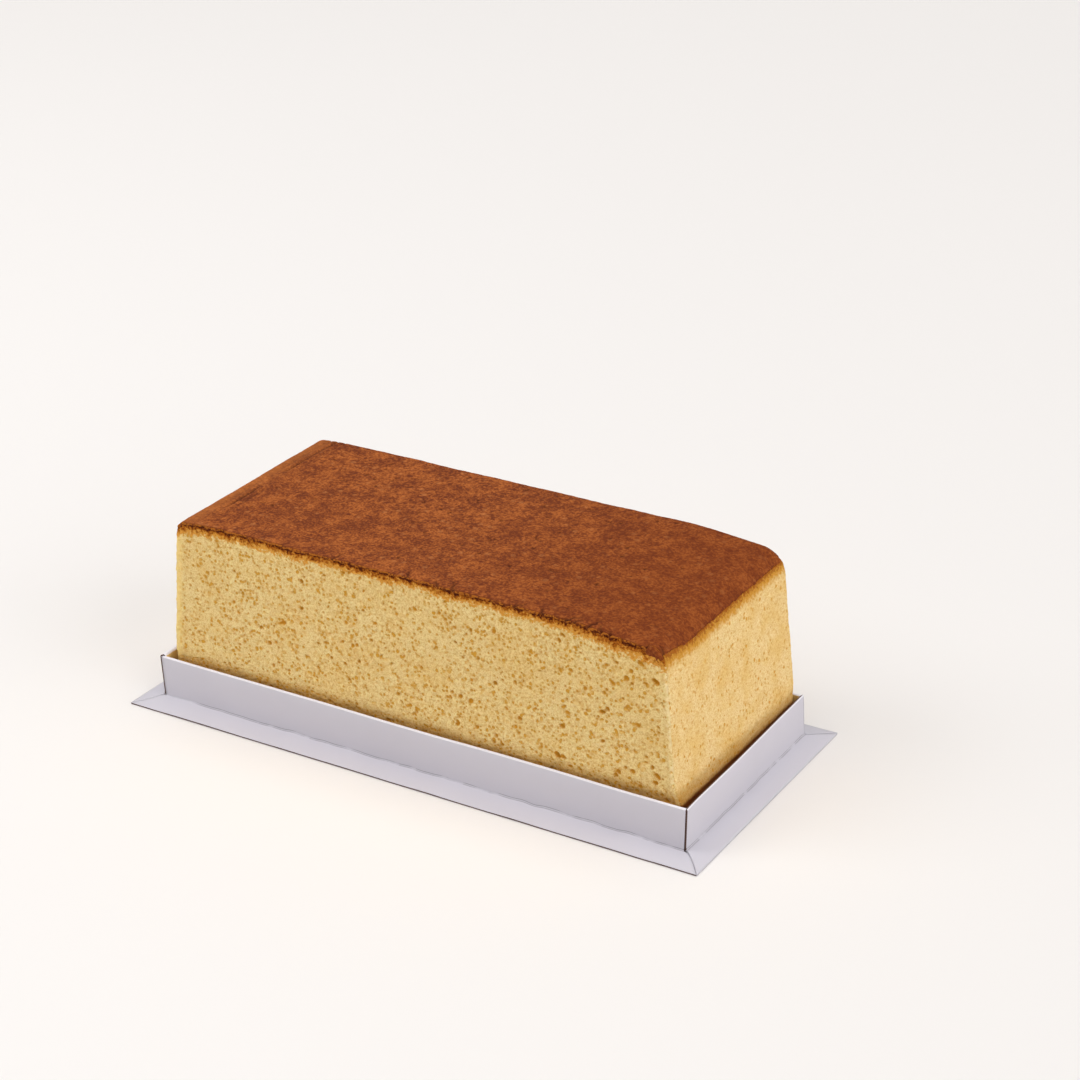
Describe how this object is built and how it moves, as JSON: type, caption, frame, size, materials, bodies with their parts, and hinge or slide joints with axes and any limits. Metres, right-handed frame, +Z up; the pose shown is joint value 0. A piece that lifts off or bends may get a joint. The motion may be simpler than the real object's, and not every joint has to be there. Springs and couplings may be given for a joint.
{
  "type": "castella sponge cake",
  "caption": "Long rectangular castella sponge cake with a browned top and cut sides, standing in a low folded card tray with a flat brim.",
  "frame": {"origin": "on the table, under the middle of the tray's brim", "axes": "+X along the cake's length, +Y across it from the cut front face to the back, +Z up"},
  "size_m": [0.256, 0.12, 0.0833],
  "materials": {
    "crumb": "matt, finely porous",
    "card": "smooth coated card, slight sheen"
  },
  "bodies": {
    "root": {"cake": "crumb", "tray": "card"}
  },
  "joints": []
}
